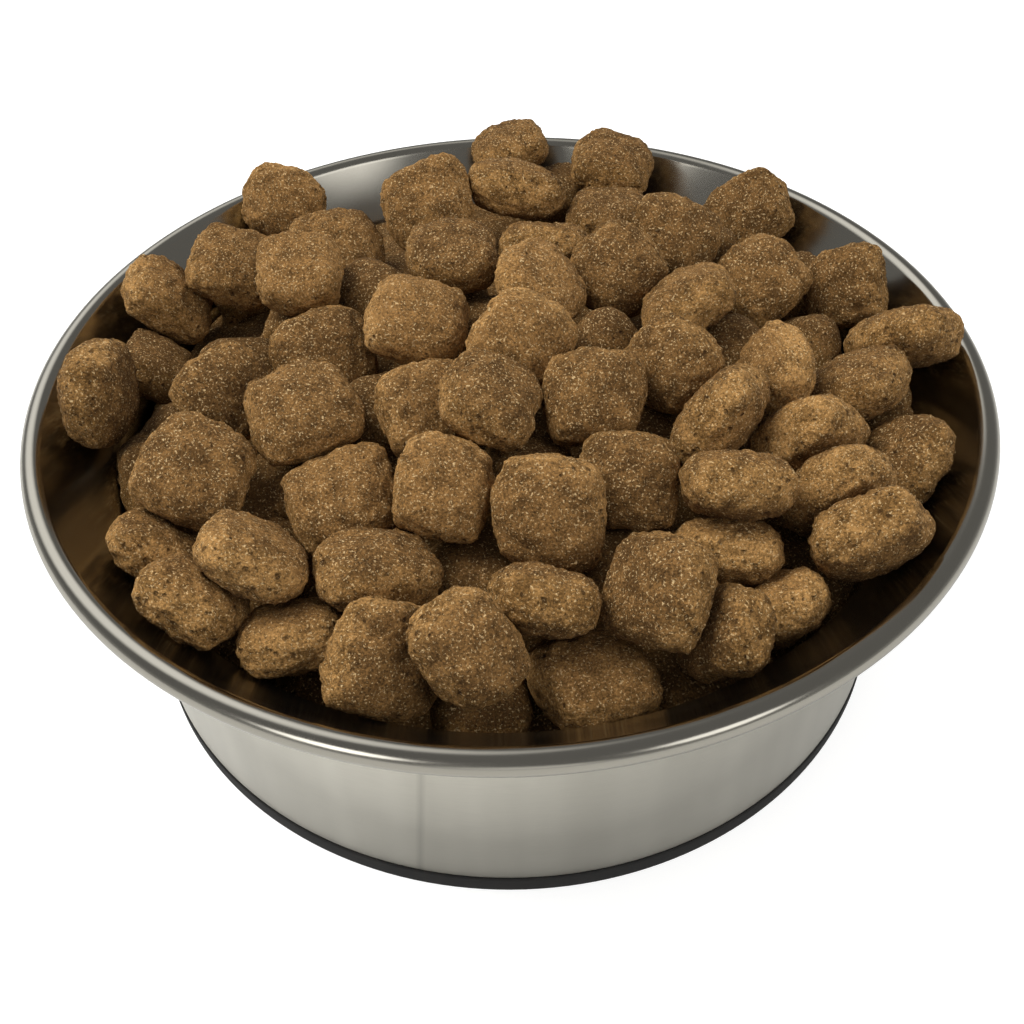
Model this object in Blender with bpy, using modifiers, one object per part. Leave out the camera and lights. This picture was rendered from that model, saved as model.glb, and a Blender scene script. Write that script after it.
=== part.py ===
# Stainless steel pet bowl heaped with dry food: a deep-drawn basin with a rolled rim,
# a rolled outer skirt, a rubber foot ring, and pillow-shaped kibbles.
# Metres, +Z up. The origin is on the ground, on the bowl's axis. +Y points to the back.
import itertools
import math
import random

import bmesh
import bpy
import numpy as np
from mathutils import Matrix, Vector
from mathutils.bvhtree import BVHTree

# Sizes of the bowl.
RIM_RADIUS = 0.105
BOWL_HEIGHT = 0.0698
BEAD_RADIUS = 0.0025
STEEL = 0.0008
SKIRT_RADIUS = 0.0903
SHOULDER_RADIUS = 0.006
SHOULDER_BAND = 0.009
FLARE_SLOPE = math.radians(48)
WALL_TAPER = math.radians(10)
FLOOR_CORNER = 0.014
FLOOR_LIFT = 0.006
BEAD_START = math.radians(160)
BEAD_END = math.radians(-130)

# Sizes of the rubber foot.
FOOT_OVERLAP = 0.0003
FOOT_HEIGHT = 0.0045
FOOT_UPSTAND = 0.0055
FOOT_THICKNESS = 0.0027
FOOT_CHAMFER = 0.0007

# Sizes of one kibble, and of the heap.
KIBBLE_SIDE = 0.0232
KIBBLE_THICKNESS = 0.0136
KIBBLE_LUMPS = 0.06
KIBBLE_SLANT = 0.08
PLAN_POWER = 3.8
SIDE_POWER = 2.6
HEAP_CROWN = 0.012
HEAP_FALL = 0.0165
HEAP_BACK = 0.0106
BED_DROP = 0.016
BED_SINK = 0.010
BED_SIDE = 0.93
BED_BITE = 0.001

# Gap between pieces that touch, and the distance under which points are one.
CLEARANCE = 0.0003
MERGE_DISTANCE = 0.00001

# Facets round the turned pieces, and along each bend of their profiles.
ROUND_STEPS = 48
BEND_STEPS = 2
BEAD_STEPS = 7
BED_STEPS = 24
BED_RINGS = 5

# Cuts across each face of the cube that a kibble is made from.
BED_CUT_STEPS = 1
TOP_CUT_STEPS = 2

# How finely a kibble is moved until it touches.
SLIDE_STEP = 0.0005
SLIDE_HALVINGS = 6
LONGEST_SHIFT = 0.005
LONGEST_SETTLING = 0.004

# How the kibbles are nested: rounds, and how much of each correction a round makes.
NEST_ROUNDS = 400
NEST_PUSH = 1.6
NEST_FEW = 4
NEST_SPIN = 0.6
NEST_HOLD = 0.10
NEST_DEPTH_HOLD = 0.015

# The heap is laid in along lines from this point, in front of and above the bowl.
LAYING_POINT = Vector((0.0, -0.205, 0.2264))

STEEL_POLISHED = ("polished_steel", (0.42, 0.41, 0.38, 1), 0.12, 1.0)
STEEL_BRUSHED = ("brushed_steel", (0.52, 0.51, 0.48, 1), 0.35, 1.0)
RUBBER_BLACK = ("black_rubber", (0.02, 0.02, 0.02, 1), 0.8, 0.0)
FOOD_BROWN = ("baked_kibble", (0.22, 0.13, 0.055, 1), 0.9, 0.0)

# The kibbles on top, in the order in which they are laid.
# bearing in degrees (0 right, 90 back), reach as a share of the mouth's radius,
# width and length as shares of a kibble's side, turn, lean, and the bearing it leans to.
TOP_KIBBLES = [
    (88, 1.00, 0.90, 0.85, 5, 5, -160),
    (69, 0.94, 0.95, 0.90, -10, 5, -35),
    (130, 1.00, 0.85, 0.95, 70, 50, -95),
    (41, 0.93, 1.05, 0.90, 15, 35, -125),
    (108, 0.66, 1.02, 0.95, 20, 40, -90),
    (87, 0.71, 1.10, 0.85, -5, 15, 65),
    (63, 0.68, 0.95, 0.90, -5, 5, 170),
    (133, 0.68, 1.00, 0.95, 20, 25, -60),
    (41, 0.62, 0.95, 0.90, -15, 40, -90),
    (75, 0.47, 1.00, 0.90, -5, 30, 85),
    (18, 0.97, 0.85, 0.90, 65, 65, -145),
    (114, 0.33, 0.92, 0.90, 0, 20, -80),
    (152, 0.81, 0.97, 0.95, 5, 20, -50),
    (150, 0.62, 0.85, 0.90, 5, 30, -70),
    (38, 0.37, 0.92, 0.90, -35, 40, -80),
    (20, 0.72, 0.92, 0.92, 20, 35, -110),
    (161, 0.99, 0.98, 0.90, 25, 20, -25),
    (55, 0.18, 0.92, 0.90, -35, 35, -40),
    (11, 0.46, 0.95, 0.90, 0, 35, 135),
    (3, 1.05, 1.12, 0.90, -25, 35, 75),
    (176, 0.22, 0.97, 0.92, -5, 30, -70),
    (179, 0.45, 1.00, 0.93, 35, 40, -80),
    (-69, 0.09, 1.00, 0.90, 45, 45, -90),
    (-24, 0.44, 0.85, 0.88, 45, 45, -125),
    (-180, 1.04, 0.95, 1.02, 50, 70, -165),
    (-169, 0.69, 0.90, 0.92, 45, 40, -85),
    (-9, 0.88, 1.00, 0.90, -20, 30, 80),
    (-13, 0.69, 0.85, 0.85, 40, 50, -150),
    (-98, 0.29, 0.90, 0.90, -10, 15, -50),
    (-123, 0.33, 0.92, 0.90, 20, 30, -90),
    (-24, 0.78, 0.95, 0.85, -10, 35, 105),
    (-43, 0.69, 0.95, 0.90, -15, 35, 85),
    (-30, 0.57, 1.05, 0.90, 10, 30, -170),
    (-21, 1.00, 0.88, 0.88, -30, 30, -105),
    (-61, 0.55, 0.88, 0.88, -10, 40, -100),
    (-55, 0.33, 0.92, 0.88, -5, 30, -85),
    (-127, 0.62, 1.02, 0.95, 25, 20, -100),
    (-151, 0.54, 1.00, 0.92, 20, 30, -65),
    (-36, 0.94, 0.98, 0.85, -15, 35, 90),
    (-32, 0.87, 1.08, 0.92, -15, 35, 100),
    (-146, 0.95, 1.00, 0.90, 5, 40, 60),
    (-153, 0.83, 0.97, 1.00, -10, 45, -65),
    (-106, 0.51, 0.86, 0.92, 0, 40, -85),
    (-52, 0.78, 0.93, 0.88, -30, 30, 35),
    (-85, 0.78, 0.88, 0.85, -20, 40, 45),
    (-83, 0.59, 0.97, 1.00, -25, 40, -90),
    (-135, 0.99, 0.88, 0.88, -25, 35, -20),
    (-124, 0.91, 0.92, 0.85, 10, 40, 90),
    (-130, 0.86, 0.92, 0.88, 15, 35, 95),
    (-114, 0.76, 1.04, 0.88, 10, 5, -25),
    (-50, 0.97, 0.75, 0.85, 55, 50, -160),
    (-60, 0.93, 0.75, 0.98, 60, 55, -160),
    (-95, 0.82, 0.76, 0.95, 25, 30, -95),
    (-80, 0.91, 1.02, 0.90, -15, 15, -90),
    (-68, 0.80, 0.95, 0.95, -20, 35, -100),
    (-108, 0.90, 1.02, 0.95, -15, 30, -65),
]

# The kibbles that show in the gaps, fused to those below them: bearing, reach,
# how far they sit under the heap's surface in millimetres, turn, lean, bearing of the lean.
BED_KIBBLES = [
    (143, 0.46, 5, 40, 30, -95),
    (110, 0.13, 8, 5, 10, -115),
    (-2, 0.25, 6, -20, 40, -75),
    (2, 0.56, 6, 10, 35, -105),
    (173, 0.71, 9, 10, 15, -45),
    (169, 0.97, 7, 5, 25, 25),
    (-173, 0.88, 4, 65, 45, -120),
    (-149, 0.35, 7, 10, 20, -70),
    (-6, 1.00, 7, 50, 65, -160),
    (6, 0.80, 6, 50, 55, -145),
    (-36, 0.43, 9, -5, 10, -115),
    (-84, 0.38, 7, -10, 10, -50),
    (-148, 0.67, 6, 20, 20, -85),
    (-169, 0.96, 10, 55, 30, -120),
    (-139, 0.76, 7, 0, 25, 45),
    (-159, 0.96, 7, 85, 35, -125),
    (-100, 0.64, 8, 0, 10, 70),
    (-70, 0.64, 9, 5, 10, -165),
    (-117, 0.93, 5, 65, 30, -125),
    (-41, 0.96, 8, 35, 50, -170),
    (-87, 0.80, 11, 0, 5, 80),
    (-67, 0.90, 9, 5, 5, 140),
    (-95, 0.93, 4, 0, 15, 80),
    (-132, 0.90, 12, -15, 35, 20),
    (-38, 0.80, 11, -10, 10, -170),
    (80, 0.90, 9, -5, 20, -95),
    (119, 0.30, 9, 0, 25, -80),
    (42, 0.75, 9, -10, 30, -105),
    (28, 0.92, 10, -15, 30, -115),
    (151, 0.64, 9, 5, 25, -70),
    (-15, 0.85, 9, 20, 20, -60),
    (145, 0.92, 9, 30, 20, -60),
]


def clear_scene():
    for item in list(bpy.data.objects):
        bpy.data.objects.remove(item)


def new_collection(name):
    collection = bpy.data.collections.new(name)
    bpy.context.scene.collection.children.link(collection)
    return collection


def new_material(name, colour, roughness, metallic):
    material = bpy.data.materials.new(name)
    material.use_nodes = True
    shader = material.node_tree.nodes["Principled BSDF"]
    shader.inputs["Base Color"].default_value = colour
    shader.inputs["Roughness"].default_value = roughness
    shader.inputs["Metallic"].default_value = metallic
    return material


def new_object(name, mesh, collection, material):
    item = bpy.data.objects.new(name, mesh)
    collection.objects.link(item)
    item.data.materials.append(material)
    return item


def hide_cutter(item):
    item.hide_render = True
    item.display_type = "WIRE"


def arc(centre, radius, start, end, steps):
    """Points from one angle to the other round a centre in the profile's plane."""
    points = []
    for step in range(steps + 1):
        angle = start + (end - start) * step / steps
        points.append((centre[0] + radius * math.cos(angle), centre[1] + radius * math.sin(angle)))
    return points


def turned(name, profile, collection, material, steps=ROUND_STEPS, closed=False):
    """A profile of (radius, height) points turned round the Z axis."""
    mesh = bpy.data.meshes.new(name)
    points = [(radius, 0, height) for radius, height in profile]
    edges = [(i, i + 1) for i in range(len(points) - 1)]
    if closed:
        edges.append((len(points) - 1, 0))
    mesh.from_pydata(points, edges, [])
    item = new_object(name, mesh, collection, material)
    screw = item.modifiers.new("turn", "SCREW")
    screw.steps = steps
    screw.render_steps = steps
    screw.use_merge_vertices = True
    screw.merge_threshold = MERGE_DISTANCE
    screw.use_smooth_shade = True
    return item


# The basin's inner face in section, shared by the basin and by what fills it.
WALL_RADIUS = SKIRT_RADIUS - STEEL - CLEARANCE - STEEL
BEAD_CENTRE = (RIM_RADIUS - BEAD_RADIUS, BOWL_HEIGHT - BEAD_RADIUS)
FLARE_RADIUS = BEAD_CENTRE[0] + BEAD_RADIUS * math.cos(BEAD_START)
FLARE_HEIGHT = BEAD_CENTRE[1] + BEAD_RADIUS * math.sin(BEAD_START)
SHOULDER_TURN = math.radians(90) + FLARE_SLOPE
FLOOR_HEIGHT = FLOOR_LIFT + STEEL


def shoulder_height():
    """Height at which the upright wall turns out into the flare."""
    flare_run = FLARE_RADIUS - WALL_RADIUS - SHOULDER_RADIUS * (1 + math.cos(SHOULDER_TURN))
    rise = flare_run * math.tan(FLARE_SLOPE) + SHOULDER_RADIUS * math.sin(SHOULDER_TURN)
    return FLARE_HEIGHT - rise


def inner_face(inset):
    """The basin's inner face from the axis out to the flare's top, moved in by inset."""
    shoulder = shoulder_height()
    band_foot = shoulder - SHOULDER_BAND
    corner = FLOOR_CORNER - inset
    floor = FLOOR_HEIGHT + inset
    wall = WALL_RADIUS - inset
    corner_height = floor + corner * (1 - math.sin(WALL_TAPER))
    foot_radius = wall - (band_foot - corner_height) * math.tan(WALL_TAPER)
    centre = (foot_radius - corner * math.cos(WALL_TAPER), floor + corner)
    points = [(0, floor)]
    points += arc(centre, corner, math.radians(-90), -WALL_TAPER, BEND_STEPS + 1)
    points.append((wall, band_foot))
    bend = (WALL_RADIUS + SHOULDER_RADIUS, shoulder)
    points += arc(bend, SHOULDER_RADIUS + inset, math.radians(180), SHOULDER_TURN, BEND_STEPS)
    return points


def make_basin(collection, material):
    profile = inner_face(0)
    profile += arc(BEAD_CENTRE, BEAD_RADIUS, BEAD_START, BEAD_END, BEAD_STEPS)
    basin = turned("basin", profile, collection, material)
    wall = basin.modifiers.new("sheet", "SOLIDIFY")
    wall.thickness = STEEL
    wall.offset = -1
    wall.use_even_offset = True
    return basin


def shoulder_underside(radius):
    """Height of the basin's outer face where it bends out over the skirt."""
    bend = SHOULDER_RADIUS - STEEL
    across = WALL_RADIUS + SHOULDER_RADIUS - radius
    return shoulder_height() + math.sqrt(bend ** 2 - across ** 2)


def make_skirt(collection, material):
    inner = SKIRT_RADIUS - STEEL
    inner_top = shoulder_underside(inner) - 2 * CLEARANCE
    outer_top = shoulder_underside(SKIRT_RADIUS) - 2 * CLEARANCE
    foot = FOOT_HEIGHT + CLEARANCE
    profile = [
        (inner, foot),
        (inner, inner_top),
        (SKIRT_RADIUS, outer_top),
        (SKIRT_RADIUS, foot),
    ]
    return turned("skirt", profile, collection, material, closed=True)


def make_foot(collection, material):
    outer = SKIRT_RADIUS + FOOT_OVERLAP
    upstand = SKIRT_RADIUS - STEEL - CLEARANCE
    inner = upstand - FOOT_THICKNESS
    top = FOOT_HEIGHT + FOOT_UPSTAND
    profile = [
        (inner, 0),
        (inner, top),
        (upstand, top),
        (upstand, FOOT_HEIGHT),
        (outer - FOOT_OVERLAP, FOOT_HEIGHT),
        (outer, FOOT_HEIGHT - FOOT_OVERLAP),
        (outer, FOOT_CHAMFER),
        (outer - FOOT_CHAMFER, 0),
    ]
    return turned("rubber_foot", profile, collection, material, closed=True)


def heap_height(x, y):
    """Height of the heap's middle surface: a dome that stands higher at the back."""
    reach = math.hypot(x, y) / WALL_RADIUS
    rim = BEAD_CENTRE[1]
    return rim + HEAP_CROWN - HEAP_FALL * reach ** 2 + HEAP_BACK * reach * y / WALL_RADIUS


def heap_place(bearing, reach, sink=0.0):
    """The point of the heap's surface at a bearing and a share of the mouth's radius."""
    radius = reach * WALL_RADIUS
    x = radius * math.cos(math.radians(bearing))
    y = radius * math.sin(math.radians(bearing))
    return Vector((x, y, heap_height(x, y) - sink))


def kibble_turn(turn, lean, toward):
    """Rotation of a kibble: turned flat, then leant over towards a bearing."""
    lean_way = Matrix.Rotation(math.radians(toward), 3, "Z")
    tilt = Matrix.Rotation(math.radians(lean), 3, "Y")
    spin = Matrix.Rotation(math.radians(turn - toward), 3, "Z")
    return lean_way @ tilt @ spin


# Points spread over a cube's faces, on which a kibble is felt for when the heap is nested.
CUBE_LINES = (-1, -1 / 3, 1 / 3, 1)
CUBE_SPOTS = [
    spot for spot in itertools.product(CUBE_LINES, repeat=3) if max(map(abs, spot)) == 1
]


class Kibble:
    """A pillow: a cube in a grid, swelled to a rounded square with thinner edges."""

    def __init__(self, name, width, length, number, cuts):
        draw = random.Random(number)
        self.name = name
        thickness = KIBBLE_THICKNESS * draw.uniform(0.92, 1.04)
        self.half = (width / 2, length / 2, thickness / 2)
        self.taper = draw.uniform(-KIBBLE_SLANT, KIBBLE_SLANT)
        self.skew = draw.uniform(-KIBBLE_SLANT, KIBBLE_SLANT)
        self.cut = draw.uniform(0.86, 0.97)
        self.shape = bmesh.new()
        bmesh.ops.create_cube(self.shape, size=2)
        edges = self.shape.edges[:]
        bmesh.ops.subdivide_edges(self.shape, edges=edges, cuts=cuts, use_grid_fill=True)
        for vertex in self.shape.verts:
            vertex.co = self.swollen(vertex.co, 1 - KIBBLE_LUMPS * draw.random())
        self.spots = [self.swollen(spot, 1) for spot in CUBE_SPOTS]

    def swollen(self, spot, size):
        """Where a point of the cube goes on the pillow."""
        x, y, z = spot
        plan = (abs(x) ** PLAN_POWER + abs(y) ** PLAN_POWER) ** (1 / PLAN_POWER)
        swell = size * (plan ** SIDE_POWER + abs(z) ** SIDE_POWER) ** (-1 / SIDE_POWER)
        along = max(-self.cut, y * swell)
        across = x * swell * (1 + self.taper * along) + self.skew * along
        return across * self.half[0], along * self.half[1], z * swell * self.half[2]

    def mesh(self):
        mesh = bpy.data.meshes.new(self.name)
        self.shape.to_mesh(mesh)
        self.shape.free()
        mesh.shade_smooth()
        return mesh


def evaluated_tree(item):
    """The search tree of an object's finished mesh."""
    graph = bpy.context.evaluated_depsgraph_get()
    finished = item.evaluated_get(graph)
    mesh = finished.to_mesh()
    points = [item.matrix_world @ vertex.co for vertex in mesh.vertices]
    mesh.calc_loop_triangles()
    faces = [tuple(face.vertices) for face in mesh.loop_triangles]
    finished.to_mesh_clear()
    return BVHTree.FromPolygons(points, faces)


class Heap:
    """The kibbles where they lie, and the search for a free place where each one touches."""

    def __init__(self, fixed, kibbles):
        self.fixed = [evaluated_tree(item) for item in fixed]
        self.laid = {}
        self.skin = {}
        for kibble in kibbles:
            rotation = kibble.rotation_euler.to_matrix()
            kibble.data.calc_loop_triangles()
            faces = [tuple(face.vertices) for face in kibble.data.loop_triangles]
            points = [rotation @ vertex.co for vertex in kibble.data.vertices]
            swollen = [
                rotation @ (vertex.co + vertex.normal * CLEARANCE)
                for vertex in kibble.data.vertices
            ]
            self.skin[kibble.name] = (points, swollen, faces)

    def put(self, kibble, place):
        points, _, faces = self.skin[kibble.name]
        tree = BVHTree.FromPolygons([point + place for point in points], faces)
        self.laid[kibble.name] = (place, tree)
        kibble.location = place

    def is_free(self, kibble, place):
        _, swollen, faces = self.skin[kibble.name]
        tree = BVHTree.FromPolygons([point + place for point in swollen], faces)
        if any(tree.overlap(other) for other in self.fixed):
            return False
        for name, (centre, other) in self.laid.items():
            near = name != kibble.name and (centre - place).length < 2 * KIBBLE_SIDE
            if near and tree.overlap(other):
                return False
        return True

    def free_up(self, kibble):
        """Moves a kibble to the free place nearest to where it is."""
        place = kibble.location.copy()
        ways = [(LAYING_POINT - place).normalized()]
        ways += [Vector(way).normalized() for way in itertools.product((-1, 0, 1), repeat=3)]
        for step in range(int(LONGEST_SHIFT / SLIDE_STEP)):
            for way in ways:
                trial = place + way * step * SLIDE_STEP
                if self.is_free(kibble, trial):
                    self.put(kibble, trial)
                    return
        while not self.is_free(kibble, place):
            place.z += SLIDE_STEP
        self.put(kibble, place)

    def slide(self, kibble, way, longest):
        """Moves a kibble this way until it touches, and says whether it did."""
        place = kibble.location.copy()
        free = 0.0
        touched = False
        while not touched and free < longest:
            touched = not self.is_free(kibble, place + way * (free + SLIDE_STEP))
            free += 0 if touched else SLIDE_STEP
        blocked = free + SLIDE_STEP
        for _ in range(SLIDE_HALVINGS):
            middle = (free + blocked) / 2
            if self.is_free(kibble, place + way * middle):
                free = middle
            else:
                blocked = middle
        self.put(kibble, place + way * free)
        return touched

    def settle(self, kibbles):
        """Frees every kibble, then lets each down from the lowest up."""
        for kibble in sorted(kibbles, key=lambda kibble: kibble.location.z):
            self.free_up(kibble)
        for kibble in sorted(kibbles, key=lambda kibble: kibble.location.z):
            away = (kibble.location - LAYING_POINT).normalized()
            down = Vector((0, 0, -1))
            touched = self.slide(kibble, away, LONGEST_SETTLING)
            touched = self.slide(kibble, down, LONGEST_SETTLING) or touched
            if not touched:
                self.slide(kibble, down, BOWL_HEIGHT)


class Nest:
    """Kibbles pushed off one another and off the bowl until none lies in another.

    Each is held to its line from the laying point, so it keeps its place in that view."""

    def __init__(self, wanted, shapes, low):
        self.count = len(wanted)
        self.low = low
        self.wanted = np.array([place for place, _ in wanted])
        self.place = self.wanted.copy()
        self.turn = np.array([np.array(turn) for _, turn in wanted])
        lines = self.wanted - np.array(LAYING_POINT)
        self.line = lines / np.linalg.norm(lines, axis=1)[:, None]
        self.half = np.array([shape.half for shape in shapes]) + CLEARANCE
        self.taper = np.array([shape.taper for shape in shapes])[:, None]
        self.skew = np.array([shape.skew for shape in shapes])[:, None]
        self.points = np.array([[tuple(spot) for spot in shape.spots] for shape in shapes])

    def depths(self, spots, number):
        """How deep points lie in the kibbles of these numbers, and each one's way out."""
        half = self.half[number][:, None, :]
        across, along, up = np.moveaxis(spots / half, -1, 0)
        across = (across - self.skew[number] * along) / (1 + self.taper[number] * along)
        plan = np.abs(across) ** PLAN_POWER + np.abs(along) ** PLAN_POWER + 1e-9
        rise = np.abs(up) ** SIDE_POWER
        level = (plan ** (SIDE_POWER / PLAN_POWER) + rise) ** (1 / SIDE_POWER)
        slope = plan ** (SIDE_POWER / PLAN_POWER - 1)
        way = np.stack([
            np.sign(across) * np.abs(across) ** (PLAN_POWER - 1) * slope,
            np.sign(along) * np.abs(along) ** (PLAN_POWER - 1) * slope,
            np.sign(up) * np.abs(up) ** (SIDE_POWER - 1),
        ], axis=-1) * level[..., None] ** (1 - SIDE_POWER) / half
        size = np.linalg.norm(way, axis=-1) + 1e-9
        return np.maximum(1 - level, 0) / size, way / size[..., None]

    def push_apart(self, spots, push, twist):
        """Half of each overlap to the kibble whose point it is, and half to the other one."""
        near = np.linalg.norm(self.place[:, None] - self.place[None], axis=2) < 1.5 * KIBBLE_SIDE
        np.fill_diagonal(near, False)
        near[: self.low, : self.low] = False
        mine, other = np.nonzero(near)
        offset = spots[mine] - self.place[other][:, None, :]
        local = np.einsum("nji,nkj->nki", self.turn[other], offset)
        depth, way = self.depths(local, other)
        move = np.einsum("nij,nkj->nki", self.turn[other], way) * depth[..., None] / 2
        hits = (depth > 0).sum(axis=1)
        touched = np.bincount(mine, hits, self.count) + np.bincount(other, hits, self.count)
        np.add.at(push, mine, move.sum(axis=1))
        np.add.at(push, other, -move.sum(axis=1))
        arms = spots[mine] - self.place[mine][:, None, :]
        np.add.at(twist, mine, np.cross(arms, move).sum(axis=1))
        np.add.at(twist, other, -np.cross(offset, move).sum(axis=1))
        return touched

    def push_inside(self, spots, push, twist):
        """Points are kept off the basin's wall, its flare, and the food below."""
        out = np.hypot(spots[..., 0], spots[..., 1]) + 1e-9
        outward = spots[..., :2] / out[..., None]
        shoulder = shoulder_height()
        sine, cosine = math.sin(FLARE_SLOPE), math.cos(FLARE_SLOPE)
        over = (spots[..., 2] - shoulder) * cosine - (out - WALL_RADIUS) * sine
        flared = (spots[..., 2] > shoulder) & (out > WALL_RADIUS)
        deep_flare = np.where(flared, np.maximum(2 * CLEARANCE - over, 0), 0)
        deep_wall = np.where(spots[..., 2] <= shoulder, out + 2 * CLEARANCE - WALL_RADIUS, 0)
        deep_wall = np.maximum(np.maximum(deep_wall, out - BEAD_CENTRE[0]), 0)
        reach = out / WALL_RADIUS
        floor = BEAD_CENTRE[1] + HEAP_CROWN - HEAP_FALL * reach ** 2 - BED_DROP + CLEARANCE
        floor += HEAP_BACK * reach * spots[..., 1] / WALL_RADIUS
        floor[: self.low] -= BED_SINK
        deep_floor = np.maximum(floor - spots[..., 2], 0)
        move = np.zeros_like(spots)
        move[..., :2] = -outward * (deep_wall + deep_flare * sine)[..., None]
        move[..., 2] = deep_flare * cosine + deep_floor
        run, rise = out - BEAD_CENTRE[0], spots[..., 2] - BEAD_CENTRE[1]
        apart = np.hypot(run, rise) + 1e-9
        deep_bead = np.maximum(BEAD_RADIUS + 2 * CLEARANCE - apart, 0) / apart
        move[..., :2] += outward * (run * deep_bead)[..., None]
        move[..., 2] += rise * deep_bead
        push += move.sum(axis=1)
        twist += np.cross(spots - self.place[:, None, :], move).sum(axis=1)
        return (move != 0).any(axis=-1).sum(axis=1)

    def root_bed(self):
        """Lets each lower kibble down until it is rooted in the food below it."""
        for number in range(self.low):
            spots = self.points[number] @ self.turn[number].T + self.place[number]
            lowest = spots[spots[:, 2].argmin()]
            floor = heap_height(lowest[0], lowest[1]) - BED_DROP
            self.place[number, 2] -= max(0, lowest[2] - floor + BED_BITE)

    def settle(self):
        """Pushes the kibbles apart, holding them to their lines less and less firmly."""
        for step in range(NEST_ROUNDS):
            spots = np.einsum("nij,nkj->nki", self.turn, self.points) + self.place[:, None, :]
            push = np.zeros((self.count, 3))
            twist = np.zeros((self.count, 3))
            touched = self.push_apart(spots, push, twist) + self.push_inside(spots, push, twist)
            share = NEST_PUSH / np.maximum(touched, NEST_FEW)[:, None]
            self.place += push * share
            spin = twist * share * NEST_SPIN / (KIBBLE_SIDE / 2) ** 2
            for number in range(self.count):
                angle = np.linalg.norm(spin[number])
                if angle > 1e-7:
                    turned_by = Matrix.Rotation(min(angle, 0.2), 3, Vector(spin[number]))
                    self.turn[number] = np.array(turned_by) @ self.turn[number]
            hold = max(0, 1 - 1.2 * step / NEST_ROUNDS)
            off = self.place - self.wanted
            along = (off * self.line).sum(axis=1)[:, None] * self.line
            self.place -= (off - along) * NEST_HOLD * hold + along * NEST_DEPTH_HOLD * hold
        self.root_bed()


def make_core(collection, material):
    """The food under the heap's kibbles: a domed block, trimmed later to the basin's inside."""
    rings = [RIM_RADIUS * ring / BED_RINGS for ring in range(BED_RINGS + 1)]
    profile = [(radius, BOWL_HEIGHT) for radius in rings] + [(RIM_RADIUS, 0), (0, 0)]
    core = turned("kibble_bed", profile, collection, material, steps=BED_STEPS)
    graph = bpy.context.evaluated_depsgraph_get()
    mesh = bpy.data.meshes.new_from_object(core.evaluated_get(graph))
    core.modifiers.clear()
    core.data = mesh
    for vertex in mesh.vertices:
        if vertex.co.z > BOWL_HEIGHT / 2:
            vertex.co.z = heap_height(vertex.co.x, vertex.co.y) - BED_DROP
    return core


def fuse_bed(bed, lumps, cutters, material):
    """Joins the lower kibbles to the food under them, and trims them to the bowl's inside."""
    fuse = bed.modifiers.new("fuse", "BOOLEAN")
    fuse.operation = "UNION"
    fuse.operand_type = "COLLECTION"
    fuse.collection = lumps
    fuse.solver = "EXACT"
    room_top = BOWL_HEIGHT + 2 * KIBBLE_SIDE
    inside = inner_face(CLEARANCE)
    mouth = inside[-1][0]
    room_profile = [(0, room_top), (mouth, room_top)] + list(reversed(inside))
    room = turned("bowl_room", room_profile, cutters, material, steps=BED_STEPS)
    hide_cutter(room)
    trim = bed.modifiers.new("trim", "BOOLEAN")
    trim.operation = "INTERSECT"
    trim.object = room
    trim.solver = "EXACT"


def make_food(collection, cutters, material, basin):
    """The heap: the lower kibbles fused to the food below, and those on top one by one."""
    wanted = []
    shapes = []
    for number, row in enumerate(BED_KIBBLES):
        bearing, reach, sink, turn, lean, toward = row
        wanted.append((heap_place(bearing, reach, sink / 1000), kibble_turn(turn, lean, toward)))
        side = BED_SIDE * KIBBLE_SIDE
        shapes.append(Kibble(f"bed_kibble_{number + 1:02d}", side, side, number, BED_CUT_STEPS))
    low = len(wanted)
    for number, row in enumerate(TOP_KIBBLES):
        bearing, reach, width, length, turn, lean, toward = row
        wanted.append((heap_place(bearing, reach), kibble_turn(turn, lean, toward)))
        sides = (width * KIBBLE_SIDE, length * KIBBLE_SIDE)
        shapes.append(Kibble(f"kibble_{number + 1:02d}", *sides, low + number, TOP_CUT_STEPS))
    nest = Nest(wanted, shapes, low)
    nest.settle()
    bed = make_core(collection, material)
    lumps = new_collection("bed_kibbles")
    kibbles = []
    for number, shape in enumerate(shapes):
        kind = lumps if number < low else collection
        kibble = new_object(shape.name, shape.mesh(), kind, material)
        kibble.location = nest.place[number]
        kibble.rotation_euler = Matrix(nest.turn[number]).to_euler()
        kibbles.append(kibble)
    for lump in kibbles[:low]:
        hide_cutter(lump)
    fuse_bed(bed, lumps, cutters, material)
    heap = Heap([basin, bed], kibbles[low:])
    heap.settle(kibbles[low:])


def build():
    clear_scene()
    bowl = new_collection("pet_bowl_with_food")
    cutters = new_collection("cutters")
    basin = make_basin(bowl, new_material(*STEEL_POLISHED))
    make_skirt(bowl, new_material(*STEEL_BRUSHED))
    make_foot(bowl, new_material(*RUBBER_BLACK))
    make_food(bowl, cutters, new_material(*FOOD_BROWN), basin)


build()
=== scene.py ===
# Stainless steel pet bowl heaped with dry food, on a white studio floor.
# The bowl's three pieces are spun again with a fine, smooth section. Every kibble is a
# subdivided copy of its plain solid, with a baked and crumbly skin.
import math
import random

import bpy
import numpy as np
from mathutils import Matrix, Vector


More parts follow.
